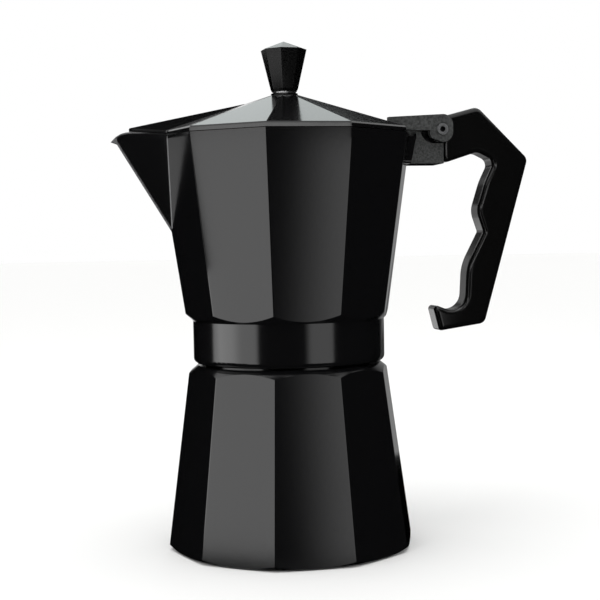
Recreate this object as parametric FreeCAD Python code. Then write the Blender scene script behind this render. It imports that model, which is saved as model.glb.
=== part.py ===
import FreeCAD, Part
import math
import os

# Stovetop coffee pot: a boiler screwed to a collector, with a hinged lid. Sizes in millimetres.
# Z is up, the table is z = 0, the handle is towards +X and the spout towards -X.

os.makedirs("parts", exist_ok=True)
V = FreeCAD.Vector

# Facets of the cast body
facet_count = 10
facet_edge_round = 1.0

# Boiler casting
boiler_base_radius = 53.6
boiler_taper = 0.134
foot_inset = 3.6
foot_bevel_height = 2.6
shoulder_top = 78.6
shoulder_ledge = 3.2
shoulder_fall = 0.81
boiler_floor = 4.0
boiler_wall = 4.0
neck_radius = 36.2
neck_wall = 4.7
neck_height = 13.4

# Screw thread between boiler and collector
thread_pitch = 4.0
thread_depth = 1.1
thread_root_width = 1.8
thread_crest_width = 1.0
thread_root_sink = 0.6
thread_clearance = 0.4
male_thread_start = 5.4
male_thread_turns = 1.6
female_thread_turns = 2.4

# Safety valve in the back facet
valve_height = 46.0
valve_boss_radius = 8.8
valve_boss_rise = 2.2
valve_thread_radius = 5.0
valve_shank_length = 8.0
valve_washer_thickness = 1.2
valve_washer_radius = 8.0
valve_hex_flats = 14.0
valve_hex_length = 7.0
valve_seat_radius = 1.9
valve_seat_length = 3.0
valve_chamber_radius = 3.6
valve_cap_thickness = 1.8
valve_cap_inset = 0.2
valve_disc_radius = 3.2
valve_disc_thickness = 1.5
valve_pin_radius = 1.1
valve_pin_clearance = 0.08
valve_pin_reach = 2.2
spring_mean_radius = 2.2
spring_wire_radius = 0.35
spring_turns = 6
contact_gap = 0.05

# Coffee funnel and its sieve
funnel_clearance = 0.5
funnel_wall = 0.9
funnel_flange_overhang = 3.0
funnel_flange_thickness = 1.0
basket_depth = 27.0
funnel_cone_drop = 8.0
funnel_tube_radius = 5.0
funnel_tube_lift = 5.0
sieve_thickness = 0.8
sieve_ledge = 1.5
sieve_hole_radius = 0.9
sieve_ring_pitch = 5.2
sieve_margin = 1.0

# Gasket and filter plate
gasket_overlap = 3.0
gasket_inset = 0.2
gasket_thickness = 3.5
gasket_clearance = 0.3
plate_inset = 0.5
plate_thickness = 0.8

# Collector casting
collector_foot_overhang = 3.1
collector_foot_rise = 1.6
collector_rim_radius = 55.45
collector_depth = 73.2
collector_wall = 3.4
collector_floor = 4.45
collector_floor_rise = 5.4
collector_bevel_slope = 1.0
collar_wall = 3.4
collar_gap = 0.7
collar_round = 2.4
collar_top_margin = 0.1
under_floor_inset = 1.5
under_floor_rise = 5.4

# Riser column in the middle of the collector
column_spigot_radius = 8.0
column_foot_radius = 9.2
column_top_radius = 6.2
column_height = 54.0
column_wall = 2.0
column_tip_height = 3.5
column_outlet_radius = 2.4
column_outlet_drop = 8.0

# Spout on the corner away from the handle
spout_tip_overhang = 18.75
spout_tip_drop = 1.6
spout_lip_overhang = 10.55
spout_lip_rise = 2.3
spout_lip_half_width = 3.7
spout_lip_curve = 2.6
spout_lip_steps = 4
spout_keel_back = 2.6
spout_keel_drop = 2.6
spout_keel_length = 39.0
spout_keel_cover = 0.12
spout_keel_sink = 1.2
spout_nose_half_width = 1.1
spout_root_inset = 15.45
spout_root_half_width = 16.4
spout_wall = 1.7

# Handle bracket cast on the collector
bracket_depth = 11.7
bracket_half_width = 8.0
bracket_end_reach = 1.5
bracket_slot_half_width = 4.0
bracket_slot_length = 7.2
bracket_slot_base = 3.7
bracket_lid_gap = 0.9
pad_half_width = 10.0
pad_rise = 0.1
pad_foot_inset = 0.75
pad_round = 1.2
knuckle_radius = 5.0
recess_radius = 5.8
recess_shift = 2.9
recess_depth = 2.0

# Lid hinge
hinge_overhang = 11.25
hinge_rise = 2.8
pin_radius = 2.0
pin_bore_radius = 1.2
pin_head_radius = 2.45
pin_head_thickness = 0.8
pin_running_clearance = 0.05
ear_gap = 0.3
ear_thickness = 3.0
ear_top_rise = 6.7
ear_end_reach = 4.9
ear_drop = 5.5
ear_arm_lift = 0.4
ear_corner_round = 4.4
ear_root_length = 11.5
ear_root_rise = 5.6

# Lid
lid_gap = 0.3
lid_rim_inset = 0.25
lid_band_height = 1.4
lid_edge_inset = 0.7
lid_edge_height = 0.7
lid_slope_rise = 15.6
lid_slope_top_radius = 6.3
lid_ridge_round = 0.7
lid_thickness = 2.2
lid_rim_wall = 3.6
lid_boss_radius = 5.75
lid_boss_rise = 0.8
lid_boss_depth = 4.4
beak_tip_cover = 0.4
beak_tip_half_width = 2.6
beak_tip_rise = 1.7
beak_tip_thickness = 1.1
beak_root_inset = 3.2
beak_root_half_width = 10.6
beak_ridge_inset = 13.2
beak_ridge_rise = 6.0
beak_ridge_start = 17.0
beak_wall = 1.7

# Knob
knob_sides = 8
knob_turn = -17.0
knob_foot_radius = 5.3
knob_waist_radius = 5.95
knob_waist_rise = 1.3
knob_rim_radius = 9.9
knob_rim_rise = 17.9
knob_peak_rise = 21.6
knob_edge_round = 0.4
knob_washer_radius = 5.0
knob_washer_thickness = 0.7
insert_radius = 3.3
insert_length = 12.0
screw_radius = 2.0
screw_clearance = 0.2
screw_length = 15.0
screw_head_radius = 3.8
screw_head_height = 2.4
screw_slot_width = 1.0
screw_slot_depth = 1.2

# Handle
handle_half_width = 6.2
handle_joint_gap = 0.2
handle_edge_round = 2.2
tongue_clearance = 0.1
tongue_start_gap = 0.5
tongue_top_rise = 4.6

# Handle outline: each corner's reach from the hinge, its rise above it and its rounding
joint_top_rise = 6.0
joint_round = 2.3
crest_reach = 18.2
crest_rise = 10.3
crest_round = 4.0
elbow_reach = 41.1
elbow_rise = -12.4
elbow_round = 3.5
heel_reach = 20.4
heel_rise = -84.5
heel_round = 3.5
toe_reach = -0.4
toe_rise = -87.4
toe_round = 1.5
hook_reach = -3.4
hook_rise = -75.4
hook_round = 1.5
valley_reach = 11.3
valley_rise = -81.2
valley_round = 7.0
palm_reach = 12.6
palm_rise = -58.9
palm_round = 22.0
cusp_reach = 20.3
cusp_rise = -44.2
cusp_round = 1.5
finger_reach = 17.2
finger_rise = -35.0
finger_round = 10.0
arch_reach = 21.3
arch_rise = -22.1
arch_round = 25.0
roof_reach = 25.7
roof_rise = -13.2
roof_round = 3.5
throat_reach = 17.9
throat_rise = -9.4
throat_round = 5.0

# Places that follow from the sizes above
half_facet = math.pi / facet_count
flat_share = math.cos(half_facet)
foot_radius = boiler_base_radius - foot_inset
shoulder_radius = neck_radius + shoulder_ledge
neck_bore = neck_radius - neck_wall
neck_top = shoulder_top + neck_height
male_crest = neck_radius + thread_depth
female_root = male_crest + thread_clearance
gasket_inner_radius = neck_bore - gasket_overlap
gasket_outer_radius = neck_radius - gasket_inset
plate_radius = gasket_outer_radius - plate_inset
sieve_ring_count = int((gasket_inner_radius - sieve_hole_radius - sieve_margin) / sieve_ring_pitch)
flange_top = neck_top + funnel_flange_thickness
gasket_top = flange_top + gasket_thickness
plate_top = gasket_top + plate_thickness
seat_height = plate_top + contact_gap
collar_radius = female_root + collar_wall
collar_bottom = shoulder_top + collar_gap
collar_bevel_height = plate_top + collar_top_margin
under_floor_radius = gasket_inner_radius - under_floor_inset
collector_foot_radius = collar_radius + collector_foot_overhang
collector_foot_height = collar_bevel_height + collector_foot_rise
collector_floor_edge = seat_height + collector_floor
collector_rim_height = collector_floor_edge + collector_depth
collector_rise = collector_rim_height - collector_foot_height
collector_taper = (collector_rim_radius - collector_foot_radius) / collector_rise
spout_tip_reach = collector_rim_radius + spout_tip_overhang
spout_tip_height = collector_rim_height - spout_tip_drop
spout_lip_reach = collector_rim_radius + spout_lip_overhang
spout_lip_height = collector_rim_height + spout_lip_rise
spout_keel_reach = spout_tip_reach - spout_keel_back
spout_keel_height = collector_rim_height - spout_keel_drop
spout_keel_foot_height = collector_rim_height - spout_keel_length
spout_root_reach = collector_rim_radius - spout_root_inset
hinge_x = collector_rim_radius + hinge_overhang
hinge_z = collector_rim_height + hinge_rise
bracket_bottom = collector_rim_height - bracket_depth
bracket_end = hinge_x + bracket_end_reach
bracket_slot_start = hinge_x - bracket_slot_length
bracket_slot_floor = bracket_bottom + bracket_slot_base
lid_rim_radius = collector_rim_radius - lid_rim_inset
lid_bottom = collector_rim_height + lid_gap
lid_band_top = lid_bottom + lid_band_height
lid_edge_top = lid_band_top + lid_edge_height
lid_edge_radius = lid_rim_radius - lid_edge_inset
lid_slope_top = lid_edge_top + lid_slope_rise
beak_tip_reach = spout_lip_reach + beak_tip_cover
beak_tip_top = spout_lip_height + beak_tip_rise
beak_root_reach = lid_rim_radius - beak_root_inset
beak_ridge_reach = lid_rim_radius - beak_ridge_inset
beak_ridge_height = lid_edge_top + beak_ridge_rise
ear_root_reach = lid_edge_radius - ear_root_length
ear_root_top = lid_edge_top + ear_root_rise
boss_top = lid_slope_top + lid_boss_rise
boss_bottom = boss_top - lid_boss_depth
knob_foot = boss_top + knob_washer_thickness
floor_peak = collector_floor_edge + collector_floor_rise
column_top = floor_peak + column_height
ear_inner = bracket_half_width + ear_gap
ear_outer = ear_inner + ear_thickness


def boiler_corner_radius(z):
    return boiler_base_radius - boiler_taper * z


def collector_corner_radius(z):
    return collector_foot_radius + collector_taper * (z - collector_foot_height)


def polygon_points(sides, radius, z, turn=0.0):
    step = 2 * math.pi / sides
    start = math.radians(turn)
    angles = [start + i * step for i in range(sides)]
    return [V(radius * math.cos(angle), radius * math.sin(angle), z) for angle in angles]


def convex_solid(points):
    # Closed solid of flat faces round a set of points.
    near = 1e-6
    planes = []
    faces = []
    count = len(points)
    for i in range(count):
        for j in range(i + 1, count):
            for k in range(j + 1, count):
                normal = (points[j] - points[i]).cross(points[k] - points[i])
                if normal.Length < near:
                    continue
                normal.normalize()
                heights = [normal.dot(p - points[i]) for p in points]
                if max(heights) > near and min(heights) < -near:
                    continue
                if max(heights) > near:
                    normal = normal * -1
                offset = normal.dot(points[i])
                if any(normal.dot(n) > 1 - near and abs(offset - d) < 1e-4 for n, d in planes):
                    continue
                planes.append((normal, offset))
                flat = [p for p in points if abs(normal.dot(p) - offset) < near]
                centre = V(0, 0, 0)
                for p in flat:
                    centre = centre + p * (1.0 / len(flat))
                across = (flat[0] - centre).normalize()
                up = normal.cross(across)
                flat.sort(key=lambda p: math.atan2((p - centre).dot(up), (p - centre).dot(across)))
                faces.append(Part.Face(Part.makePolygon(flat + [flat[0]])))
    shell = Part.makeShell(faces)
    solid = Part.makeSolid(shell)
    if solid.Volume < 0:
        solid.reverse()
    return solid


def faceted(sides, sections, turn=0.0):
    # Faceted solid through polygons given as (corner radius, height), each step convex.
    body = None
    for low, high in zip(sections[:-1], sections[1:]):
        step = convex_solid(polygon_points(sides, low[0], low[1], turn)
                            + polygon_points(sides, high[0], high[1], turn))
        body = step if body is None else body.fuse(step)
    return body.removeSplitter()


def rounded_outline(corners):
    # Closed wire in the XZ plane through (x, z, corner radius).
    count = len(corners)
    points = [V(x, 0, z) for x, z, radius in corners]
    turns = []
    for i in range(count):
        here = points[i]
        back = (points[i - 1] - here).normalize()
        ahead = (points[(i + 1) % count] - here).normalize()
        radius = corners[i][2]
        if radius == 0:
            turns.append((here, None, here))
            continue
        half = back.getAngle(ahead) / 2
        reach = radius / math.tan(half)
        bisector = (back + ahead).normalize()
        middle = here + bisector * (radius / math.sin(half) - radius)
        turns.append((here + back * reach, middle, here + ahead * reach))
    edges = []
    for i in range(count):
        start, middle, end = turns[i]
        if middle is not None:
            edges.append(Part.Arc(start, middle, end).toShape())
        following = turns[(i + 1) % count][0]
        edges.append(Part.LineSegment(end, following).toShape())
    return Part.Wire(edges)


def sharp(points):
    return [(x, z, 0) for x, z in points]


def turned(corners):
    return Part.Face(rounded_outline(corners)).revolve(V(0, 0, 0), V(0, 0, 1), 360)


def slab(corners, low, high):
    face = Part.Face(rounded_outline(corners))
    face.translate(V(0, low, 0))
    return face.extrude(V(0, high - low, 0))


def upright(radius, low, high):
    return Part.makeCylinder(radius, high - low, V(0, 0, low))


def rod_y(radius, low, high, x, z):
    return Part.makeCylinder(radius, high - low, V(x, low, z), V(0, 1, 0))


def mirror_y(x, y, z):
    return [V(x, y, z), V(x, -y, z)]


def round_long_edges(body, rise, radius):
    long_edges = [e for e in body.Edges if e.BoundBox.ZLength > rise]
    return body.makeFillet(radius, long_edges)


def helical_ridge(root, crest, start, turns):
    # Thread ridge of trapezoid section, with its root sunk in the wall that carries it.
    helix = Part.makeHelix(thread_pitch, thread_pitch * turns, root)
    outward = 1 if crest > root else -1
    back = root - outward * thread_root_sink
    narrow = thread_crest_width / 2
    flank = (thread_root_width - thread_crest_width) / 2 / thread_depth
    wide = thread_root_width / 2 + flank * thread_root_sink
    section = [V(back, 0, -wide), V(crest, 0, -narrow), V(crest, 0, narrow), V(back, 0, wide)]
    ridge = Part.Wire(helix).makePipeShell([Part.makePolygon(section + [section[0]])], True, True)
    ridge.translate(V(0, 0, start))
    return ridge


def sieve_holes(radius, pitch, rings, low, high):
    holes = [upright(radius, low, high)]
    for ring in range(1, rings + 1):
        for place in polygon_points(6 * ring, ring * pitch, low):
            holes.append(Part.makeCylinder(radius, high - low, place))
    return Part.makeCompound(holes)


def save(shape, node):
    shape.exportStep("parts/" + node + ".step")
    state = "valid" if shape.isValid() else "BROKEN"
    print(node, len(shape.Solids), "solids", round(shape.Volume, 2), "mm3", state)


# Boiler: faceted casting, turned at the foot and shoulder, bored out round
valve_flat = boiler_corner_radius(valve_height) * flat_share
valve_face = valve_flat + valve_boss_rise
thread_start = shoulder_top + male_thread_start


def make_boiler():
    top_radius = boiler_corner_radius(shoulder_top)
    body = faceted(facet_count, [(boiler_base_radius, 0), (top_radius, shoulder_top)])
    body = round_long_edges(body, shoulder_top / 2, facet_edge_round)
    outside = boiler_base_radius + boiler_wall
    foot_climb = foot_bevel_height / (boiler_base_radius - foot_radius)
    lathe = turned(sharp([
        (0, 0),
        (foot_radius, 0),
        (outside, (outside - foot_radius) * foot_climb),
        (outside, shoulder_top - (outside - shoulder_radius) * shoulder_fall),
        (shoulder_radius, shoulder_top),
        (0, shoulder_top)]))
    body = body.common(lathe)
    neck = upright(neck_radius, shoulder_top - boiler_wall, neck_top)
    body = body.fuse(neck)
    boss = rod_y(valve_boss_radius, valve_flat - boiler_wall / 2, valve_face, 0, valve_height)
    body = body.fuse(boss)
    wall_top = shoulder_top - 2 * boiler_wall
    floor_radius = boiler_corner_radius(boiler_floor) * flat_share - boiler_wall
    hollow = turned([
        (0, boiler_floor, 0),
        (floor_radius, boiler_floor, boiler_wall),
        (boiler_corner_radius(wall_top) * flat_share - boiler_wall, wall_top, boiler_wall),
        (neck_bore, shoulder_top - boiler_wall / 2, 0),
        (neck_bore, neck_top + 1, 0),
        (0, neck_top + 1, 0)])
    body = body.cut(hollow)
    body = body.cut(rod_y(valve_thread_radius, 0, valve_face + 1, 0, valve_height))
    ridge = helical_ridge(neck_radius, male_crest, thread_start, male_thread_turns)
    return body.fuse(ridge).removeSplitter()


# Safety valve: brass body, sealing washer, spring-loaded stem and a pressed-in cap
valve_hex_start = valve_face + valve_washer_thickness
valve_hex_end = valve_hex_start + valve_hex_length
valve_inner_end = valve_face - valve_shank_length
valve_seat = valve_inner_end + valve_seat_length
cap_end = valve_hex_end - valve_cap_inset
cap_start = cap_end - valve_cap_thickness
disc_start = valve_seat + contact_gap
disc_end = disc_start + valve_disc_thickness


def make_valve_washer():
    ring = rod_y(valve_washer_radius, valve_face, valve_hex_start, 0, valve_height)
    return ring.cut(rod_y(valve_thread_radius, valve_face - 1, valve_hex_start + 1, 0, valve_height))


def make_valve_body():
    corner = valve_hex_flats / 2 / math.cos(math.pi / 6)
    outline = [(p.x, valve_height + p.y, 0) for p in polygon_points(6, corner, 0)]
    body = slab(outline, valve_hex_start, valve_hex_end)
    body = body.fuse(rod_y(valve_thread_radius, valve_inner_end, valve_hex_start + 1, 0, valve_height))
    body = body.cut(rod_y(valve_seat_radius, valve_inner_end - 1, valve_seat + 1, 0, valve_height))
    chamber = rod_y(valve_chamber_radius, valve_seat, valve_hex_end + 1, 0, valve_height)
    return body.cut(chamber).removeSplitter()


def make_valve_cap():
    disc = rod_y(valve_chamber_radius, cap_start, cap_end, 0, valve_height)
    hole = valve_pin_radius + valve_pin_clearance
    return disc.cut(rod_y(hole, cap_start - 1, cap_end + 1, 0, valve_height))


def make_valve_stem():
    disc = rod_y(valve_disc_radius, disc_start, disc_end, 0, valve_height)
    pin_start = disc_end - valve_disc_thickness / 2
    pin = rod_y(valve_pin_radius, pin_start, valve_hex_end + valve_pin_reach, 0, valve_height)
    return disc.fuse(pin).removeSplitter()


def spring_points():
    first = disc_end + spring_wire_radius + contact_gap
    last = cap_start - spring_wire_radius - contact_gap
    steps = 8 * spring_turns
    points = []
    for i in range(steps + 1):
        angle = 2 * math.pi * spring_turns * i / steps
        height = first + (last - first) * i / steps
        x = spring_mean_radius * math.cos(angle)
        z = valve_height + spring_mean_radius * math.sin(angle)
        points.append(V(x, height, z))
    return points


def make_valve_spring():
    # One wire along quarter-turn arcs of a helix.
    points = spring_points()
    edges = []
    for i in range(0, len(points) - 2, 2):
        edges.append(Part.Arc(points[i], points[i + 1], points[i + 2]).toShape())
    path = Part.Wire(edges)
    tangent = edges[0].tangentAt(edges[0].FirstParameter)
    section = Part.Wire(Part.makeCircle(spring_wire_radius, points[0], tangent))
    turn_rise = (points[-1].y - points[0].y) / spring_turns
    print("spring gap between turns", round(turn_rise - 2 * spring_wire_radius, 3))
    return path.makePipeShell([section], True, False)


# Funnel with its coffee basket, and the sieve pressed into the basket's foot
basket_radius = neck_bore - funnel_clearance
basket_inner = basket_radius - funnel_wall
basket_foot = flange_top - basket_depth
cone_foot = basket_foot - funnel_cone_drop
tube_inner = funnel_tube_radius - funnel_wall


def make_funnel():
    tube_end = boiler_floor + funnel_tube_lift
    flange = basket_radius + funnel_flange_overhang
    return turned(sharp([
        (funnel_tube_radius, tube_end),
        (funnel_tube_radius, cone_foot),
        (basket_radius, basket_foot - funnel_wall),
        (basket_radius, neck_top),
        (flange, neck_top),
        (flange, flange_top),
        (basket_inner, flange_top),
        (basket_inner, basket_foot),
        (basket_inner - sieve_ledge, basket_foot),
        (tube_inner, cone_foot + funnel_wall),
        (tube_inner, tube_end)]))


def make_funnel_filter():
    disc = upright(basket_inner, basket_foot, basket_foot + sieve_thickness)
    holes = sieve_holes(sieve_hole_radius, sieve_ring_pitch, sieve_ring_count,
                        basket_foot - 1, basket_foot + sieve_thickness + 1)
    return disc.cut(holes)


# Gasket and filter plate under the collector
def make_gasket():
    return upright(gasket_outer_radius, flange_top, gasket_top).cut(
        upright(gasket_inner_radius, flange_top - 1, gasket_top + 1))


def make_filter_plate():
    disc = upright(plate_radius, gasket_top, plate_top)
    holes = sieve_holes(sieve_hole_radius, sieve_ring_pitch, sieve_ring_count, gasket_top - 1, plate_top + 1)
    return disc.cut(holes)


# Collector: faceted cup with collar, spout, bracket pad and handle bracket in one casting
def make_spout(shrink, top):
    # The keel and sides move inwards by shrink, and the top is raised to open the channel.
    keel_x = collector_corner_radius(spout_keel_foot_height) + spout_keel_cover - spout_keel_reach
    keel_z = spout_keel_foot_height - spout_keel_height
    length = math.hypot(keel_x, keel_z)
    slide = V(-keel_z / length, 0, -keel_x / length) * shrink
    keel_top = V(-spout_keel_reach, 0, spout_keel_height) + slide
    keel_foot = keel_top - V(keel_x, 0, -keel_z) * spout_keel_sink
    nose = max(spout_nose_half_width - shrink / 2, spout_nose_half_width / 4)
    lip = spout_lip_half_width - shrink
    front = mirror_y(keel_top.x, nose, keel_top.z)
    front += mirror_y(-spout_lip_reach, lip, spout_lip_height + top)
    root = mirror_y(-spout_root_reach, spout_root_half_width - shrink, collector_rim_height + top)
    trunk = convex_solid([keel_foot, keel_foot + V(spout_wall, 0, 0)] + front + root)
    # The pouring lip curls down to a tip that hangs out past the keel.
    curl = list(front)
    for i in range(spout_lip_steps):
        share = (i + 1) / spout_lip_steps
        reach = spout_lip_reach + share * (spout_tip_reach - shrink / 2 - spout_lip_reach)
        fall = share ** spout_lip_curve * (spout_lip_height - spout_tip_height)
        curl += mirror_y(-reach, lip + share * (nose - lip), spout_lip_height - fall + top)
    return trunk.fuse(convex_solid(curl))


def make_bracket():
    lid_sweep = hinge_x - (lid_rim_radius + bracket_lid_gap)
    step_x = hinge_x - lid_sweep
    top = hinge_z - 2 * ear_arm_lift
    block = slab([
        (spout_root_reach, bracket_bottom, 0),
        (bracket_end, bracket_bottom, 0),
        (bracket_end, top, 0),
        (step_x, top, 0),
        (step_x, collector_rim_height - lid_gap, 0),
        (spout_root_reach, collector_rim_height - lid_gap, 0)], -bracket_half_width, bracket_half_width)
    knuckle = rod_y(knuckle_radius, -bracket_half_width, bracket_half_width, hinge_x, hinge_z)
    block = block.fuse(knuckle)
    for low in (-bracket_half_width - 1, bracket_half_width - recess_depth):
        high = low + recess_depth + 1
        recess = rod_y(recess_radius, low, high, hinge_x, hinge_z)
        recess = recess.fuse(rod_y(recess_radius, low, high, hinge_x - recess_shift, hinge_z))
        recess = recess.fuse(slab(sharp([
            (hinge_x - recess_shift, hinge_z - recess_radius),
            (hinge_x, hinge_z - recess_radius),
            (hinge_x, hinge_z + recess_radius),
            (hinge_x - recess_shift, hinge_z + recess_radius)]), low, high))
        block = block.cut(recess.cut(rod_y(knuckle_radius, low, high, hinge_x, hinge_z)))
    slot_end = bracket_end + knuckle_radius + 1
    slot_top = hinge_z + knuckle_radius + 1
    slot = slab(sharp([
        (bracket_slot_start, bracket_slot_floor),
        (slot_end, bracket_slot_floor),
        (slot_end, slot_top),
        (bracket_slot_start, slot_top)]), -bracket_slot_half_width, bracket_slot_half_width)
    return block.cut(slot)


def make_pad():
    low = bracket_bottom
    high = collector_rim_height
    pad = slab(sharp([
        (spout_root_reach, low),
        (collector_corner_radius(low) - pad_foot_inset, low),
        (collector_corner_radius(high) + pad_rise, high),
        (spout_root_reach, high)]), -pad_half_width, pad_half_width)
    lower = [e for e in pad.Edges if e.BoundBox.ZMax < low + 1 and e.BoundBox.XLength > 1]
    return pad.makeFillet(pad_round, lower)


def make_collector():
    low = collar_bevel_height
    body = faceted(facet_count, [(collector_corner_radius(low), low),
                                 (collector_corner_radius(collector_rim_height), collector_rim_height)])
    body = round_long_edges(body, collector_rim_height / 4, facet_edge_round)
    outside = collector_corner_radius(collector_rim_height) + collector_wall
    lathe = turned(sharp([
        (0, low),
        (collar_radius, low),
        (outside, low + (outside - collar_radius) * collector_bevel_slope),
        (outside, collector_rim_height),
        (0, collector_rim_height)]))
    body = body.common(lathe)
    collar = turned([
        (0, collar_bottom, 0),
        (collar_radius, collar_bottom, collar_round),
        (collar_radius, low + 1, 0),
        (0, low + 1, 0)])
    body = body.fuse(collar)
    body = body.fuse(make_spout(0, 0)).fuse(make_pad()).fuse(make_bracket())
    inner_low = collector_corner_radius(collector_floor_edge) - collector_wall
    inner_high = collector_corner_radius(collector_rim_height + 1) - collector_wall
    cup = faceted(facet_count, [(inner_low, collector_floor_edge), (inner_high, collector_rim_height + 1)])
    hill = turned(sharp([
        (0, collector_floor_edge - 1),
        (inner_low, collector_floor_edge - 1),
        (inner_low * flat_share, collector_floor_edge),
        (column_foot_radius, floor_peak),
        (0, floor_peak)]))
    body = body.cut(cup.cut(hill))
    body = body.cut(make_spout(spout_wall, 2 * spout_wall).cut(upright(spout_root_reach, 0, floor_peak)))
    socket = turned(sharp([
        (0, collar_bottom - 1),
        (female_root, collar_bottom - 1),
        (female_root, flange_top),
        (gasket_outer_radius + gasket_clearance, flange_top),
        (gasket_outer_radius + gasket_clearance, seat_height),
        (under_floor_radius, seat_height),
        (column_spigot_radius, seat_height + under_floor_rise),
        (column_spigot_radius, floor_peak + 1),
        (0, floor_peak + 1)]))
    body = body.cut(socket)
    body = body.cut(rod_y(pin_radius, -ear_outer, ear_outer, hinge_x, hinge_z))
    ridge = helical_ridge(female_root, female_root - thread_depth,
                          thread_start - thread_pitch / 2, female_thread_turns)
    return body.fuse(ridge).removeSplitter()


def make_riser_column():
    spigot_foot = seat_height + under_floor_rise
    bore = column_spigot_radius - column_wall
    shell = turned(sharp([
        (bore, spigot_foot),
        (column_spigot_radius, spigot_foot),
        (column_spigot_radius, floor_peak),
        (column_foot_radius, floor_peak),
        (column_top_radius, column_top - column_tip_height),
        (column_top_radius - column_wall, column_top),
        (0, column_top),
        (0, column_top - column_wall),
        (column_top_radius - column_wall, column_top - column_tip_height - column_wall)]))
    outlet = column_top - column_outlet_drop
    return shell.cut(rod_y(column_outlet_radius, -column_foot_radius, column_foot_radius, 0, outlet))


# Lid: faceted cap with a beak over the spout, a boss for the knob and two hinge ears
def make_beak(shrink):
    lower = lid_bottom - 2 * shrink
    points = mirror_y(-beak_tip_reach + shrink, beak_tip_half_width - shrink / 2, beak_tip_top - shrink)
    points += mirror_y(-beak_tip_reach + shrink, beak_tip_half_width - shrink / 2,
                       beak_tip_top - beak_tip_thickness - 2 * shrink)
    points += mirror_y(-beak_root_reach, beak_root_half_width - shrink, lower)
    points += mirror_y(-beak_root_reach, beak_root_half_width - shrink, lid_edge_top - shrink)
    points += mirror_y(-beak_ridge_reach, beak_root_half_width - shrink, lower)
    slope = (lid_slope_top - lid_edge_top) / (lid_edge_radius - lid_slope_top_radius)
    start_height = lid_edge_top + (lid_edge_radius - beak_ridge_start) * slope
    points.append(V(-beak_ridge_reach, 0, beak_ridge_height - shrink))
    points.append(V(-beak_ridge_start, 0, start_height - shrink))
    return convex_solid(points)


def make_ear(side):
    corner = ear_corner_round
    foot = hinge_z - ear_drop
    front = hinge_x + ear_end_reach
    back = hinge_x - ear_drop
    arm_bottom = hinge_z - ear_arm_lift
    outline = [
        (ear_root_reach, ear_root_top - 2 * lid_thickness, 0),
        (ear_root_reach, ear_root_top, 0),
        (front, hinge_z + ear_top_rise, corner),
        (front, foot, corner),
        (back, foot, corner),
        (back, arm_bottom, 0),
        (lid_edge_radius, arm_bottom, 0)]
    low = ear_inner if side > 0 else -ear_outer
    ear = slab(outline, low, low + ear_thickness)
    hole = pin_radius + pin_running_clearance
    return ear.cut(rod_y(hole, -ear_outer - 1, ear_outer + 1, hinge_x, hinge_z))


def make_lid():
    shell = faceted(facet_count, [
        (lid_rim_radius, lid_bottom),
        (lid_rim_radius, lid_band_top),
        (lid_edge_radius, lid_edge_top),
        (lid_slope_top_radius, lid_slope_top)])
    shell = round_long_edges(shell, lid_slope_rise / 2, lid_ridge_round)
    shell = shell.fuse(make_beak(0))
    inner_rim = lid_rim_radius - lid_rim_wall
    hollow = faceted(facet_count, [
        (inner_rim, lid_bottom - 1),
        (inner_rim, lid_band_top - lid_thickness / 2),
        (lid_slope_top_radius, lid_slope_top - lid_thickness)])
    shell = shell.cut(hollow).cut(make_beak(beak_wall)).cut(make_spout(-lid_gap, lid_gap))
    shell = shell.fuse(upright(lid_boss_radius, boss_bottom, boss_top))
    shell = shell.fuse(make_ear(1)).fuse(make_ear(-1))
    return shell.cut(upright(screw_radius + screw_clearance, boss_bottom - 1, boss_top + 1)).removeSplitter()


# Knob, its brass insert, the screw from below and the washer under its foot
def make_knob():
    points = polygon_points(knob_sides, knob_waist_radius, knob_foot + knob_waist_rise, knob_turn)
    points += polygon_points(knob_sides, knob_foot_radius, knob_foot, knob_turn)
    rim = knob_foot + knob_rim_rise
    foot = convex_solid(points)
    stem = convex_solid(polygon_points(knob_sides, knob_waist_radius, knob_foot + knob_waist_rise, knob_turn)
                        + polygon_points(knob_sides, knob_rim_radius, rim, knob_turn)
                        + [V(0, 0, knob_foot + knob_peak_rise)])
    stem = round_long_edges(stem, (knob_rim_rise - knob_waist_rise) / 2, knob_edge_round)
    body = foot.fuse(stem).removeSplitter()
    return body.cut(upright(insert_radius, knob_foot - 1, knob_foot + insert_length))


def make_knob_insert():
    return upright(insert_radius, knob_foot, knob_foot + insert_length).cut(
        upright(screw_radius, knob_foot - 1, knob_foot + insert_length + 1))


def make_knob_washer():
    return upright(knob_washer_radius, boss_top, knob_foot).cut(
        upright(screw_radius + screw_clearance, boss_top - 1, knob_foot + 1))


def make_knob_screw():
    shank = upright(screw_radius, boss_bottom, boss_bottom + screw_length)
    head = turned([
        (0, boss_bottom - screw_head_height, 0),
        (screw_head_radius, boss_bottom - screw_head_height, screw_head_height / 2),
        (screw_head_radius, boss_bottom, 0),
        (0, boss_bottom, 0)])
    slot = Part.makeBox(2 * screw_head_radius + 2, screw_slot_width, screw_slot_depth,
                        V(-screw_head_radius - 1, -screw_slot_width / 2, boss_bottom - screw_head_height))
    return shank.fuse(head).cut(slot).removeSplitter()


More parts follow.
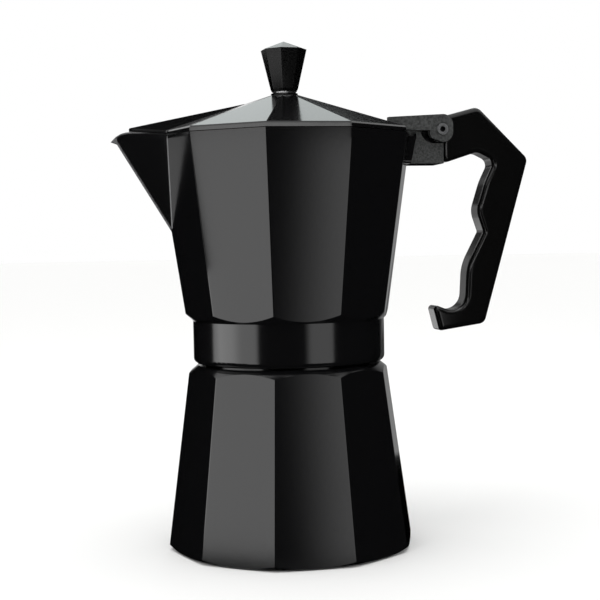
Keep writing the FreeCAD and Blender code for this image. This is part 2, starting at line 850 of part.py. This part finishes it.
# Handle: moulded grip with a tongue that sits in the bracket's slot
def make_handle():
    joint = bracket_end + handle_joint_gap
    corners = [
        (crest_reach, crest_rise, crest_round),
        (elbow_reach, elbow_rise, elbow_round),
        (heel_reach, heel_rise, heel_round),
        (toe_reach, toe_rise, toe_round),
        (hook_reach, hook_rise, hook_round),
        (valley_reach, valley_rise, valley_round),
        (palm_reach, palm_rise, palm_round),
        (cusp_reach, cusp_rise, cusp_round),
        (finger_reach, finger_rise, finger_round),
        (arch_reach, arch_rise, arch_round),
        (roof_reach, roof_rise, roof_round),
        (throat_reach, throat_rise, throat_round)]
    outline = [(joint, hinge_z + joint_top_rise, joint_round)]
    outline += [(hinge_x + reach, hinge_z + rise, rounding) for reach, rise, rounding in corners]
    outline.append((joint, bracket_bottom, joint_round))
    grip = slab(outline, -handle_half_width, handle_half_width)
    rims = [e for e in grip.Edges if e.BoundBox.YLength < 0.01 and e.BoundBox.XMax > joint + 0.1]
    grip = grip.makeFillet(handle_edge_round, rims)
    seat = knuckle_radius + ear_gap
    grip = grip.cut(rod_y(seat, -handle_half_width - 1, handle_half_width + 1, hinge_x, hinge_z))
    tongue_width = bracket_slot_half_width - tongue_clearance
    tongue = slab([
        (bracket_slot_start + tongue_start_gap, bracket_slot_floor + tongue_clearance, 0),
        (joint + seat, bracket_slot_floor + tongue_clearance, 0),
        (joint + seat, hinge_z + tongue_top_rise, 0),
        (bracket_slot_start + tongue_start_gap, hinge_z + tongue_top_rise, tongue_top_rise)],
        -tongue_width, tongue_width)
    handle = grip.fuse(tongue)
    return handle.cut(rod_y(pin_radius, -ear_outer, ear_outer, hinge_x, hinge_z)).removeSplitter()


def make_hinge_pin():
    end = ear_outer + ear_gap / 2
    tube = rod_y(pin_radius, -end, end, hinge_x, hinge_z)
    for low in (-end - pin_head_thickness, end):
        tube = tube.fuse(rod_y(pin_head_radius, low, low + pin_head_thickness, hinge_x, hinge_z))
    reach = end + pin_head_thickness + 1
    return tube.cut(rod_y(pin_bore_radius, -reach, reach, hinge_x, hinge_z)).removeSplitter()


save(make_boiler(), "boiler")
save(make_valve_washer(), "valve_washer")
save(make_valve_body(), "valve_body")
save(make_valve_cap(), "valve_cap")
save(make_valve_stem(), "valve_stem")
save(make_valve_spring(), "valve_spring")
save(make_funnel(), "funnel")
save(make_funnel_filter(), "funnel_filter")
save(make_gasket(), "gasket")
save(make_filter_plate(), "filter_plate")
save(make_collector(), "collector")
save(make_riser_column(), "riser_column")
save(make_lid(), "lid")
save(make_knob(), "knob")
save(make_knob_insert(), "knob_insert")
save(make_knob_washer(), "knob_washer")
save(make_knob_screw(), "knob_screw")
save(make_handle(), "handle")
save(make_hinge_pin(), "hinge_pin")
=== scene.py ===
import math
import bpy
import numpy as np
from mathutils import Matrix, Vector


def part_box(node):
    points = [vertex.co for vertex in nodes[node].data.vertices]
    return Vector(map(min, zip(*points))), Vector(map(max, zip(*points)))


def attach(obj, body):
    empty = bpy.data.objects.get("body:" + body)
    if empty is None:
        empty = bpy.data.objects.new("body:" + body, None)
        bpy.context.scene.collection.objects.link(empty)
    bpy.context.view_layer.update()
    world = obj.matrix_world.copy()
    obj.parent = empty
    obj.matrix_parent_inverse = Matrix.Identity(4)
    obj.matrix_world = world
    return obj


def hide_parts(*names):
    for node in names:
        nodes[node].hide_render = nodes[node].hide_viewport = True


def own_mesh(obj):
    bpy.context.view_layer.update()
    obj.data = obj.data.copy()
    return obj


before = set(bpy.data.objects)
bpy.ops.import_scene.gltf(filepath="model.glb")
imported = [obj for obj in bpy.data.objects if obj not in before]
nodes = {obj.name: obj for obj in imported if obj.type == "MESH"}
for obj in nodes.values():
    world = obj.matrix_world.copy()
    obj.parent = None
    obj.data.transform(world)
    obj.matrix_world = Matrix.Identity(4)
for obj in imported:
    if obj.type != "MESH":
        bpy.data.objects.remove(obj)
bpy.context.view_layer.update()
mm = 0.001
scene = bpy.context.scene
print("frame loaded:", len(nodes), "nodes")


def hexToLinear(text):
    # sRGB hex to linear RGBA, by the standard sRGB curve
    parts = [int(text[i:i + 2], 16) / 255 for i in (1, 3, 5)]
    linear = [p / 12.92 if p <= 0.04045 else ((p + 0.055) / 1.055) ** 2.4 for p in parts]
    return (*linear, 1.0)


def addNode(tree, kind, inputs=None, **settings):
    # adds a node, sets its fields, and fills or links its inputs
    node = tree.nodes.new(kind)
    for name, value in settings.items():
        setattr(node, name, value)
    for key, value in (inputs or {}).items():
        if isinstance(value, bpy.types.NodeSocket):
            tree.links.new(value, node.inputs[key])
        else:
            node.inputs[key].default_value = value
    return node


def startMaterial(name):
    material = bpy.data.materials.new(name)
    material.use_nodes = True
    tree = material.node_tree
    tree.nodes.clear()
    shader = addNode(tree, "ShaderNodeBsdfPrincipled")
    addNode(tree, "ShaderNodeOutputMaterial", {"Surface": shader.outputs[0]})
    coords = addNode(tree, "ShaderNodeTexCoord")
    return material, tree, shader, coords


def calc(tree, operation, *values):
    # one step of arithmetic on numbers or sockets
    inputs = {i: v for i, v in enumerate(values)}
    return addNode(tree, "ShaderNodeMath", inputs, operation=operation).outputs[0]


def grain(tree, coords, sizeMm, detail=2.0, rough=0.5):
    # noise whose features are about sizeMm across
    inputs = {"Vector": coords.outputs["Object"], "Scale": 1 / (sizeMm * mm)}
    inputs.update({"Detail": detail, "Roughness": rough})
    return addNode(tree, "ShaderNodeTexNoise", inputs)


def bumpFrom(tree, height, depthMm):
    return addNode(tree, "ShaderNodeBump", {"Height": height, "Distance": depthMm * mm, "Strength": 1.0})


def mixNumber(tree, factor, low, high):
    return addNode(tree, "ShaderNodeMix", {"Factor": factor, "A": low, "B": high}).outputs["Result"]


def mixColour(tree, factor, low, high):
    # sockets by number: the colour ones share their names with those for numbers
    return addNode(tree, "ShaderNodeMix", {0: factor, 6: low, 7: high}, data_type="RGBA").outputs[2]


# camera at the photograph's place: close, low, a little to the spout side
cameraSettings = dict(
    place=(-0.1012, -0.5496, 0.1293), turnDeg=10.96, pitchDeg=-2.454, rollDeg=-1.016,
    lens=77.79, sensor=36, nearest=0.01)


def placeCamera(s):
    turn, pitch, roll = (math.radians(s[k]) for k in ("turnDeg", "pitchDeg", "rollDeg"))
    ahead = Vector((math.sin(turn) * math.cos(pitch), math.cos(turn) * math.cos(pitch), math.sin(pitch)))
    right = Vector((math.cos(turn), -math.sin(turn), 0))
    up = right.cross(ahead)
    rolledRight = right * math.cos(roll) + up * math.sin(roll)
    rolledUp = up * math.cos(roll) - right * math.sin(roll)
    data = bpy.data.cameras.new("photoCamera")
    data.lens = s["lens"]
    data.sensor_width = s["sensor"]
    data.clip_start = s["nearest"]
    camera = bpy.data.objects.new("photoCamera", data)
    axes = Matrix((rolledRight, rolledUp, -ahead)).transposed().to_4x4()
    camera.matrix_world = Matrix.Translation(s["place"]) @ axes
    scene.collection.objects.link(camera)
    scene.camera = camera


placeCamera(cameraSettings)
scene.view_settings.view_transform = "Standard"
print("camera placed")

# studio: pale floor, white surround, two soft lamps
studio = dict(
    floorRadius=12.0, floorColour="#fafaf9", floorRough=0.9, floorShine=0.1,
    surround=1.0, surroundOnSurfaces=1.02, roundSteps=65)
lamps = [
    dict(name="overheadLamp", place=(-0.3, -0.3, 1.1), aim=(0, 0, 0.1), size=0.7, power=3.0,
         colour=(1, 1, 1)),
    dict(name="backLamp", place=(0.17, 0.86, 0.66), aim=(0, 0, 0.18), size=0.36, power=0.17,
         colour=(0.8, 1, 0.97))]


def surfaceFromGrid(name, grid, tube=False):
    # grid is rows x columns x 3; quads join neighbours, and a tube closes round and at its ends
    rows, columns = grid.shape[:2]
    index = np.arange(rows * columns).reshape(rows, columns)
    ends = [index[0, ::-1].tolist(), index[-1].tolist()] if tube else []
    if tube:
        index = np.concatenate([index, index[:, :1]], axis=1)
    quads = np.stack([index[:-1, :-1], index[:-1, 1:], index[1:, 1:], index[1:, :-1]], axis=-1)
    mesh = bpy.data.meshes.new(name)
    mesh.from_pydata(grid.reshape(-1, 3).tolist(), [], quads.reshape(-1, 4).tolist() + ends)
    mesh.update()
    piece = bpy.data.objects.new(name, mesh)
    scene.collection.objects.link(piece)
    return piece


def flatRing(name, inner, outer, height, columns):
    # level ring: radius and angle as the two parameters
    radius, angle = np.meshgrid(np.array([inner, outer]), np.linspace(0, 2 * np.pi, columns), indexing="ij")
    grid = np.stack([radius * np.cos(angle), radius * np.sin(angle), 0 * radius + height], axis=-1)
    return surfaceFromGrid(name, grid)


def makeFloor(s):
    # matt white table: soft and even, it only takes the pot's shadow
    floor = flatRing("paleFloor", 0.0, s["floorRadius"], 0.0, s["roundSteps"])
    material, tree, shader, coords = startMaterial("matt white table")
    shader.inputs["Base Color"].default_value = hexToLinear(s["floorColour"])
    shader.inputs["Roughness"].default_value = s["floorRough"]
    shader.inputs["Specular IOR Level"].default_value = s["floorShine"]
    floor.data.materials.append(material)


def makeSurround(s):
    # white to the camera and in reflections, a touch brighter as light on the surfaces
    world = bpy.data.worlds.new("whiteSurround")
    scene.world = world
    world.use_nodes = True
    tree = world.node_tree
    tree.nodes.clear()
    rays = addNode(tree, "ShaderNodeLightPath")
    seen = calc(tree, "MAXIMUM", rays.outputs["Is Camera Ray"], rays.outputs["Is Glossy Ray"])
    seen = calc(tree, "MAXIMUM", seen, rays.outputs["Is Transmission Ray"])
    strength = mixNumber(tree, seen, s["surroundOnSurfaces"], s["surround"])
    glow = addNode(tree, "ShaderNodeBackground", {"Color": (1, 1, 1, 1), "Strength": strength})
    addNode(tree, "ShaderNodeOutputWorld", {"Surface": glow.outputs[0]})


def addLamp(s):
    data = bpy.data.lights.new(s["name"], "AREA")
    data.shape = "SQUARE"
    data.size = s["size"]
    data.energy = s["power"]
    data.color = s["colour"]
    lamp = bpy.data.objects.new(s["name"], data)
    lamp.location = s["place"]
    lamp.rotation_mode = "QUATERNION"
    lamp.rotation_quaternion = (Vector(s["aim"]) - Vector(s["place"])).to_track_quat("-Z", "Y")
    scene.collection.objects.link(lamp)


makeFloor(studio)
makeSurround(studio)
for lampSettings in lamps:
    addLamp(lampSettings)

# reflector wall: a low curved screen round the pot that only glossy surfaces see, with soft panels on it
# each panel: the angles round +Z where it starts, is full, stops being full and ends; the same in height;
# and its brightness
# in order, for: the left front facets and their middle, the right front ones, the right side,
# the grip's inner face, its lower flanks, its upper bend, and the lid's rim
wallSettings = dict(radius=0.26, height=0.3, base=0.002, seamDeg=-200.0, columns=181)
wallPanels = [
    dict(angles=(-197, -192, -137, -132), heights=(-0.02, 0.0, 0.14, 0.16), glow=2.3),
    dict(angles=(-192, -182, -168, -152), heights=(-0.02, 0.0, 0.11, 0.15), glow=1.2),
    dict(angles=(-84, -75, -52, -49), heights=(-0.02, 0.0, 0.12, 0.15), glow=1.4),
    dict(angles=(30, 50, 62, 80), heights=(-0.02, 0.0, 0.18, 0.24), glow=0.3),
    dict(angles=(74, 80, 98, 106), heights=(0.08, 0.1, 0.185, 0.2), glow=0.5),
    dict(angles=(74, 80, 98, 106), heights=(-0.02, 0.0, 0.075, 0.1), glow=1.3),
    dict(angles=(82, 88, 112, 122), heights=(0.218, 0.24, 0.33, 0.35), glow=1.2),
    dict(angles=(-185, -175, -75, -69), heights=(0.178, 0.186, 0.21, 0.222), glow=3.0)]
# dark cards: keep the panels out of the grip's flat side, the spout's side, the beak and the knob
darkCards = [
    dict(name="gripCard", corner=(0.082, -0.06, 0.06), across=(0.053, 0, 0),
         along=(0, 0, 0.1), glow=0.0),
    dict(name="spoutCard", corner=(-0.09, -0.052, 0.105), across=(0, 0.038, 0),
         along=(0, 0, 0.081), glow=0.0),
    dict(name="beakCard", corner=(-0.13, 0.11, 0.4), across=(0.14, 0, 0),
         along=(0, 0.13, 0), glow=0.0),
    dict(name="knobCardLeft", corner=(-0.0781, -0.0122, 0.1797), across=(0.0135, -0.0334, 0),
         along=(0, 0, 0.0195), glow=0.65),
    dict(name="knobCardRight", corner=(0.0099, -0.0787, 0.1797), across=(0.0355, 0.0136, 0),
         along=(0, 0, 0.0195), glow=0.0),
    dict(name="knobCardLow", corner=(0.0221, -0.0749, 0.166), across=(0.0232, 0.0113, 0),
         along=(0, 0, 0.0137), glow=0.0)]
floorCard = dict(inner=0.0503, outer=0.3, height=0.0008)


def softStep(tree, value, low, high):
    # 0 below low, 1 above high, eased between
    inputs = {"Value": value, "From Min": low, "From Max": high}
    return addNode(tree, "ShaderNodeMapRange", inputs, interpolation_type="SMOOTHSTEP").outputs[0]


def softWindow(tree, value, start, full, close, end):
    # 0 outside start and end, 1 from full to close, eased between
    return calc(tree, "SUBTRACT", softStep(tree, value, start, full), softStep(tree, value, close, end))


def onlyInReflections(piece, glow):
    # plain emitter, dark where the glow is 0, that is met by glossy rays alone
    material = bpy.data.materials.new("studio reflector")
    material.use_nodes = True
    tree = material.node_tree
    tree.nodes.clear()
    emission = addNode(tree, "ShaderNodeEmission", {"Strength": glow(tree)})
    addNode(tree, "ShaderNodeOutputMaterial", {"Surface": emission.outputs[0]})
    piece.data.materials.append(material)
    for ray in ("camera", "diffuse", "transmission", "shadow", "volume_scatter"):
        setattr(piece, "visible_" + ray, False)


def wallGlow(tree):
    # sum of the panels, each an eased window in angle times one in height
    coords = addNode(tree, "ShaderNodeTexCoord")
    split = addNode(tree, "ShaderNodeSeparateXYZ", {0: coords.outputs["Object"]})
    turn = calc(tree, "DIVIDE", calc(tree, "ARCTAN2", split.outputs[1], split.outputs[0]), 2 * math.pi)
    seam = wallSettings["seamDeg"]
    turn = calc(tree, "FRACT", calc(tree, "ADD", turn, -seam / 360))
    angle = calc(tree, "MULTIPLY_ADD", turn, 360.0, seam)
    total = 0.0
    for panel in wallPanels:
        across = softWindow(tree, angle, *panel["angles"])
        lit = calc(tree, "MULTIPLY", across, softWindow(tree, split.outputs[2], *panel["heights"]))
        total = calc(tree, "MULTIPLY_ADD", lit, panel["glow"], total)
    return total


def ringWall(name, radius, base, top, columns):
    # upright ring: height and angle as the two parameters
    height, angle = np.meshgrid(np.array([base, top]), np.linspace(-np.pi, np.pi, columns), indexing="ij")
    grid = np.stack([radius * np.cos(angle), radius * np.sin(angle), height], axis=-1)
    return surfaceFromGrid(name, grid)


def makeReflectors(wall, ground, cards):
    ring = ringWall("reflectorWall", wall["radius"], wall["base"], wall["height"], wall["columns"])
    onlyInReflections(ring, wallGlow)
    disc = flatRing("floorCard", ground["inner"], ground["outer"], ground["height"], studio["roundSteps"])
    onlyInReflections(disc, lambda tree: 0.0)
    for card in cards:
        # flat card: a corner plus shares of its two edges
        along, across = np.meshgrid(np.linspace(0, 1, 2), np.linspace(0, 1, 2), indexing="ij")
        spread = across[..., None] * np.array(card["across"]) + along[..., None] * np.array(card["along"])
        flat = surfaceFromGrid(card["name"], np.array(card["corner"]) + spread)
        onlyInReflections(flat, lambda tree: card["glow"])


makeReflectors(wallSettings, floorCard, darkCards)
print("studio ready")

# gloss black stove enamel on cast aluminium, bare metal inside, grey cast bracket and ears
# forms are in millimetres and slopes; each facing is the share of a normal past which a face counts
fineDetail = 3.0
plainShine = 0.5
enamel = dict(colour="#0a0a0b", rough=0.13, roughSpread=0.05, peelMm=1.6, peelDepthMm=0.004)
bareCast = dict(colour="#b4b4b6", rough=0.34, roughSpread=0.2, grainMm=0.5, depthMm=0.02)
greyCast = dict(
    colour="#424443", darker="#1e1f1f", rough=0.55, grainMm=0.9, depthMm=0.06,
    detail=4.0, detailRough=0.65, speckLow=0.38, speckHigh=0.62)
boilerForm = dict(
    baseRadius=53.6, taper=0.134, skin=2.0, floorTop=2.0, neckStart=81.0, ledgeBase=77.9, boreRadius=34.0)
collectorForm = dict(
    footRadius=44.2, footHeight=99.0, taper=0.148, skin=1.6, rimHeight=175.0,
    socketTop=98.4, socketRadius=38.0, socketBase=81.0,
    padTop=55.6, padLean=0.218, bracketSide=7.8, channelStart=47.0,
    cupFacing=-0.3, channelFacing=-0.2, undersideFacing=-0.7)
lidForm = dict(
    edgeTop=177.4, edgeRadius=54.5, slope=0.3237, hollowEnd=55.0, hollowFacing=-0.5,
    earStart=40.0, earProud=0.15)
spoutForm = dict(
    lipReach=66.0, tipReach=74.2, lipHeight=177.3, tipFall=3.9, curve=2.6,
    keelReach=71.6, keelHeight=172.4, keelSink=1.2, footReach=49.7, footHeight=136.0,
    noseHalf=1.1, rootReach=40.0, rootHalf=16.4, rootHeight=175.0)
paintedLineSettings = dict(
    edgeMm=0.9, creaseMm=(0.1, 0.2, 0.66, 1.1), insetMm=1.5, aboveFootMm=1.0, patchMm=2.5, share=0.9)
facetHalf = math.pi / 10
flatShare = math.cos(facetHalf)


def bodyPlace(tree, coords):
    # x, y, z in millimetres, and the distance from the pot's axis
    split = addNode(tree, "ShaderNodeSeparateXYZ", {0: coords.outputs["Object"]})
    x, y, z = (calc(tree, "DIVIDE", split.outputs[i], mm) for i in range(3))
    squares = calc(tree, "ADD", calc(tree, "MULTIPLY", x, x), calc(tree, "MULTIPLY", y, y))
    return x, y, z, calc(tree, "SQRT", squares)


def boilerMasks(tree, coords):
    # bare metal: the water space and the neck above the shoulder
    x, y, z, radius = bodyPlace(tree, coords)
    f = boilerForm
    start = f["baseRadius"] * flatShare - f["skin"]
    limit = calc(tree, "MULTIPLY_ADD", z, -f["taper"] * flatShare, start)
    above = calc(tree, "GREATER_THAN", z, f["floorTop"])
    inside = calc(tree, "MULTIPLY", calc(tree, "LESS_THAN", radius, limit), above)
    below = calc(tree, "LESS_THAN", z, f["ledgeBase"])
    bore = calc(tree, "LESS_THAN", radius, f["boreRadius"])
    inside = calc(tree, "MULTIPLY", inside, calc(tree, "MAXIMUM", below, bore))
    neck = calc(tree, "GREATER_THAN", z, f["neckStart"])
    return calc(tree, "MAXIMUM", inside, neck), None, None


def spoutPaintedHighlights(tree, coords, x, y, z):
    # painted highlights: thin light lines, drawn as bare metal, along the spout's lip and keel, by the
    # depth below those edges, and in the crease beside the spout, by the distance in front of the plane of
    # its side; they stand in for the shine on rounded edges
    f = spoutForm
    w = paintedLineSettings
    reach = {"Value": x, "From Min": -f["lipReach"], "From Max": -f["tipReach"]}
    share = addNode(tree, "ShaderNodeMapRange", reach).outputs[0]
    fall = calc(tree, "MULTIPLY", calc(tree, "POWER", share, f["curve"]), f["tipFall"])
    lipDepth = calc(tree, "SUBTRACT", calc(tree, "SUBTRACT", f["lipHeight"], fall), z)
    run = f["keelReach"] - f["footReach"]
    rise = f["keelHeight"] - f["footHeight"]
    length = math.hypot(run, rise)
    offset = (f["keelReach"] * rise - f["keelHeight"] * run) / length
    keelDepth = calc(tree, "MULTIPLY_ADD", x, rise / length, offset)
    keelDepth = calc(tree, "ADD", keelDepth, calc(tree, "MULTIPLY", z, run / length))
    depth = calc(tree, "MINIMUM", lipDepth, keelDepth)
    edges = calc(tree, "SUBTRACT", 1.0, softStep(tree, depth, 0.0, w["edgeMm"]))
    top = np.array([-f["keelReach"], f["noseHalf"], f["keelHeight"]])
    foot = np.array([f["keelSink"] * run - f["keelReach"], 0.0, f["keelHeight"] - f["keelSink"] * rise])
    root = np.array([-f["rootReach"], f["rootHalf"], f["rootHeight"]])
    side = np.cross(root - top, foot - top)
    side = side / np.linalg.norm(side)
    ahead = calc(tree, "MULTIPLY_ADD", x, float(side[0]), -float(side @ top))
    ahead = calc(tree, "MULTIPLY_ADD", calc(tree, "ABSOLUTE", y), float(side[1]), ahead)
    ahead = calc(tree, "MULTIPLY_ADD", z, float(side[2]), ahead)
    lines = calc(tree, "MAXIMUM", edges, softWindow(tree, ahead, *w["creaseMm"]))
    outside = calc(tree, "LESS_THAN", x, w["insetMm"] - f["footReach"])
    above = calc(tree, "GREATER_THAN", z, f["footHeight"] + w["aboveFootMm"])
    zone = calc(tree, "MULTIPLY", outside, above)
    patches = grain(tree, coords, w["patchMm"]).outputs[0]
    # painted highlight: the lines lighten the enamel where its rounded edges would shine
    paintedLines = calc(tree, "MULTIPLY", calc(tree, "MULTIPLY", lines, zone), patches)
    return calc(tree, "MULTIPLY", paintedLines, w["share"])


def collectorMasks(tree, coords):
    # bare metal: the cup, the socket over the boiler, the spout's channel and the painted highlight lines;
    # grey cast: the bracket's sides; no shine: its underside, as painted shade that keeps it dark
    x, y, z, radius = bodyPlace(tree, coords)
    f = collectorForm
    start = (f["footRadius"] - f["taper"] * f["footHeight"]) * flatShare - f["skin"]
    limit = calc(tree, "MULTIPLY_ADD", z, f["taper"] * flatShare, start)
    normal = addNode(tree, "ShaderNodeSeparateXYZ", {0: coords.outputs["Normal"]})
    outward = calc(tree, "MULTIPLY_ADD", x, normal.outputs[0], calc(tree, "MULTIPLY", y, normal.outputs[1]))
    padFace = calc(tree, "MULTIPLY_ADD", z, f["padLean"], f["padTop"] - f["padLean"] * f["rimHeight"])
    beyond = calc(tree, "GREATER_THAN", x, padFace)
    facing = calc(tree, "LESS_THAN", outward, calc(tree, "MULTIPLY", radius, f["cupFacing"]))
    wall = calc(tree, "MULTIPLY", facing, calc(tree, "SUBTRACT", 1.0, beyond))
    cup = calc(tree, "MAXIMUM", calc(tree, "LESS_THAN", radius, limit), wall)
    cup = calc(tree, "MULTIPLY", cup, calc(tree, "GREATER_THAN", z, f["socketTop"]))
    socket = calc(tree, "LESS_THAN", radius, f["socketRadius"])
    socket = calc(tree, "MULTIPLY", calc(tree, "LESS_THAN", z, f["socketTop"]), socket)
    socket = calc(tree, "MULTIPLY", socket, calc(tree, "GREATER_THAN", z, f["socketBase"]))
    inward = calc(tree, "MULTIPLY", calc(tree, "SIGN", y), normal.outputs[1])
    channel = calc(tree, "LESS_THAN", inward, f["channelFacing"])
    channel = calc(tree, "MULTIPLY", channel, calc(tree, "LESS_THAN", x, -f["channelStart"]))
    bare = calc(tree, "MAXIMUM", calc(tree, "MAXIMUM", cup, socket), channel)
    bare = calc(tree, "MAXIMUM", bare, spoutPaintedHighlights(tree, coords, x, y, z))
    # the faces nearer the middle than the bracket's sides, the recess round the ear among them, stay black
    # enamel: real paint, and in the recess also painted shade
    cheek = calc(tree, "GREATER_THAN", calc(tree, "ABSOLUTE", y), f["bracketSide"])
    grey = calc(tree, "MULTIPLY", beyond, cheek)
    # painted shade: the bracket's underside loses its shine, so that it stays dark as in shade
    shadeNoShine = calc(tree, "MULTIPLY", beyond, calc(tree, "LESS_THAN", normal.outputs[2], f["undersideFacing"]))
    return bare, grey, shadeNoShine


def lidMasks(tree, coords):
    # bare metal: the hollow underneath; grey cast: the ears, which stand proud of the sloping roof
    x, y, z, radius = bodyPlace(tree, coords)
    f = lidForm
    normal = addNode(tree, "ShaderNodeSeparateXYZ", {0: coords.outputs["Normal"]})
    under = calc(tree, "LESS_THAN", normal.outputs[2], f["hollowFacing"])
    along = calc(tree, "ADD", x, calc(tree, "MULTIPLY", calc(tree, "ABSOLUTE", y), math.tan(facetHalf)))
    fall = calc(tree, "MULTIPLY", calc(tree, "SUBTRACT", f["edgeRadius"], along), f["slope"])
    proud = calc(tree, "SUBTRACT", calc(tree, "SUBTRACT", z, f["edgeTop"]), fall)
    ear = calc(tree, "GREATER_THAN", proud, f["earProud"])
    ear = calc(tree, "MULTIPLY", ear, calc(tree, "GREATER_THAN", x, f["earStart"]))
    hollow = calc(tree, "MULTIPLY", under, calc(tree, "LESS_THAN", x, f["hollowEnd"]))
    return hollow, ear, None


def spreadRough(tree, speck, s):
    # roughness that wavers with the grain about its middle value
    return calc(tree, "MULTIPLY_ADD", speck.outputs[0], s["roughSpread"], s["rough"] - s["roughSpread"] / 2)


def castingMaterial(name, masks):
    # sprayed and baked enamel: deep black, sharp gloss with a faint orange peel;
    # bare casting: pale, softly shining metal; grey casting: matt, speckled like sand
    material, tree, shader, coords = startMaterial(name)
    bare, grey, shadeNoShine = masks(tree, coords)
    peel = grain(tree, coords, enamel["peelMm"])
    cast = grain(tree, coords, bareCast["grainMm"], fineDetail)
    colour = mixColour(tree, bare, hexToLinear(enamel["colour"]), hexToLinear(bareCast["colour"]))
    rough = mixNumber(tree, bare, spreadRough(tree, peel, enamel), spreadRough(tree, cast, bareCast))
    metal = bare
    height = calc(tree, "MULTIPLY", peel.outputs[0], enamel["peelDepthMm"])
    height = mixNumber(tree, bare, height, calc(tree, "MULTIPLY", cast.outputs[0], bareCast["depthMm"]))
    if grey is not None:
        s = greyCast
        speck = grain(tree, coords, s["grainMm"], s["detail"], s["detailRough"])
        limits = {"Value": speck.outputs[0], "From Min": s["speckLow"], "From Max": s["speckHigh"]}
        spread = addNode(tree, "ShaderNodeMapRange", limits).outputs[0]
        greyColour = mixColour(tree, spread, hexToLinear(s["darker"]), hexToLinear(s["colour"]))
        colour = mixColour(tree, grey, colour, greyColour)
        rough = mixNumber(tree, grey, rough, s["rough"])
        metal = calc(tree, "MULTIPLY", bare, calc(tree, "SUBTRACT", 1.0, grey))
        height = mixNumber(tree, grey, height, calc(tree, "MULTIPLY", speck.outputs[0], s["depthMm"]))
    # painted shade: the masked faces lose their shine, so that they stay dark
    if shadeNoShine is not None:
        shine = calc(tree, "MULTIPLY_ADD", shadeNoShine, -plainShine, plainShine)
        tree.links.new(shine, shader.inputs["Specular IOR Level"])
    tree.links.new(colour, shader.inputs["Base Color"])
    tree.links.new(rough, shader.inputs["Roughness"])
    tree.links.new(metal, shader.inputs["Metallic"])
    tree.links.new(bumpFrom(tree, height, 1.0).outputs[0], shader.inputs["Normal"])
    return material


def plainMaterial(name, s):
    # one finish all over, with its own fine grain in the gloss and the relief
    material, tree, shader, coords = startMaterial(name)
    speck = grain(tree, coords, s["grainMm"], fineDetail)
    shader.inputs["Metallic"].default_value = s.get("metal", 0.0)
    darker = s.get("darker", s["colour"])
    colour = mixColour(tree, speck.outputs[0], hexToLinear(s["colour"]), hexToLinear(darker))
    tree.links.new(colour, shader.inputs["Base Color"])
    tree.links.new(spreadRough(tree, speck, s), shader.inputs["Roughness"])
    tree.links.new(bumpFrom(tree, speck.outputs[0], s["depthMm"]).outputs[0], shader.inputs["Normal"])
    return material


# pressed black resin of the grip and knob: deep black with a slightly soft shine
moulding = dict(colour="#070707", rough=0.2, roughSpread=0.06, grainMm=0.7, depthMm=0.003)
# pressed and drawn aluminium: pale grey metal with a satin shine
drawnAluminium = dict(
    colour="#c3c3c4", darker="#aaaaac", metal=1.0, rough=0.3, roughSpread=0.1, grainMm=0.6, depthMm=0.004)
# moulded silicone: warm white and matt
whiteSilicone = dict(
    colour="#e4e3dc", darker="#d6d4cb", rough=0.6, roughSpread=0.1, grainMm=0.5, depthMm=0.006)
# turned brass: yellow metal, fairly bright
turnedBrass = dict(
    colour="#c8a25a", darker="#a98443", metal=1.0, rough=0.28, roughSpread=0.12, grainMm=0.4, depthMm=0.003)
# plain steel wire and pins: mid grey metal, a little dull
plainSteel = dict(
    colour="#a2a3a4", darker="#7f8081", metal=1.0, rough=0.48, roughSpread=0.12, grainMm=0.4, depthMm=0.004)

finishes = {
    "enamelled boiler": ["boiler"], "enamelled collector": ["collector"], "enamelled lid": ["lid"],
    "gloss black moulding": ["handle", "knob"],
    "drawn aluminium": ["funnel", "funnel_filter", "filter_plate", "riser_column", "knob_washer"],
    "white silicone": ["gasket", "valve_washer"],
    "turned brass": ["valve_body", "valve_cap", "valve_stem", "knob_insert"],
    "plain steel": ["valve_spring", "hinge_pin", "knob_screw"]}
materials = {
    "enamelled boiler": castingMaterial("enamelled boiler", boilerMasks),
    "enamelled collector": castingMaterial("enamelled collector", collectorMasks),
    "enamelled lid": castingMaterial("enamelled lid", lidMasks),
    "gloss black moulding": plainMaterial("gloss black moulding", moulding),
    "drawn aluminium": plainMaterial("drawn aluminium", drawnAluminium),
    "white silicone": plainMaterial("white silicone", whiteSilicone),
    "turned brass": plainMaterial("turned brass", turnedBrass),
    "plain steel": plainMaterial("plain steel", plainSteel)}
for finish, names in finishes.items():
    for name in names:
        nodes[name].data.materials.clear()
        nodes[name].data.materials.append(materials[finish])
print("materials on", sum(len(n) for n in finishes.values()), "nodes")

# valve spring: the node's own coil, drawn in its place; it rides with the boiler
springSettings = dict(turns=6, stepsPerTurn=24, wireMm=0.35, sides=10, liftMm=2.0)


def makeSpring(s):
    # coil along Y: fixed radius, even rise with the angle; the wire is a circle on the radial and
    # side directions
    low, high = (np.array(corner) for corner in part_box("valve_spring"))
    middle = (low + high) / 2
    wire = s["wireMm"] * mm
    coil = (high[0] - low[0]) / 2 - wire
    rise = (high[1] - low[1] - 2 * wire) / (2 * np.pi * s["turns"])
    angle = np.linspace(0, 2 * np.pi * s["turns"], s["turns"] * s["stepsPerTurn"] + 1)[:, None]
    around = np.linspace(0, 2 * np.pi, s["sides"], endpoint=False)[None, :, None]
    radial = np.stack([np.cos(angle), 0 * angle, np.sin(angle)], axis=-1)
    along = np.stack([-coil * np.sin(angle), rise + 0 * angle, coil * np.cos(angle)], axis=-1)
    along = along / math.hypot(coil, rise)
    start = np.array([middle[0], low[1] + wire, middle[2]])
    centre = start + coil * radial + np.stack([0 * angle, rise * angle, 0 * angle], axis=-1)
    grid = centre + wire * (np.cos(around) * radial + np.sin(around) * np.cross(along, radial))
    spring = surfaceFromGrid("coiledSpring", grid, tube=True)
    spring.data.shade_smooth()
    spring.data.materials.append(materials["plain steel"])
    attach(spring, "boiler_unit")
    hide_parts("valve_spring")
    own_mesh(spring)


makeSpring(springSettings)
print("spring drawn")
